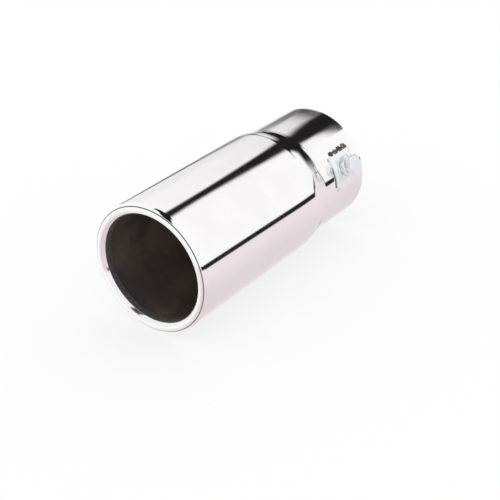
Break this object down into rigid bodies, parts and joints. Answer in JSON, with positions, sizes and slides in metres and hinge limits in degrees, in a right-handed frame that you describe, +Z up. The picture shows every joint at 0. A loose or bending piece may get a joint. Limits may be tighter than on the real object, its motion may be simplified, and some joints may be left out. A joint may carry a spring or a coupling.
{
  "type": "exhaust tip",
  "caption": "Round bolt-on exhaust tip: a polished steel tube with a rolled mouth, stepped down to a neck that a screw, bridge and pressure shoe clamp to a tail pipe.",
  "frame": {"origin": "centre of the open inlet end, on the axis of the tube", "axes": "+Y along the tube, out of the inlet; +Z up; the mouth faces -Y and the clamp is on the +X side"},
  "size_m": [0.0749, 0.15, 0.07],
  "materials": {
    "polished_steel": "mirror polished",
    "zinc_plate": "bright zinc plating"
  },
  "bodies": {
    "root": {"tip_shell": "polished_steel", "clamp_bridge": "zinc_plate", "clamp_nut": "zinc_plate", "clamp_screw": "zinc_plate", "pressure_shoe": "zinc_plate"}
  },
  "joints": []
}
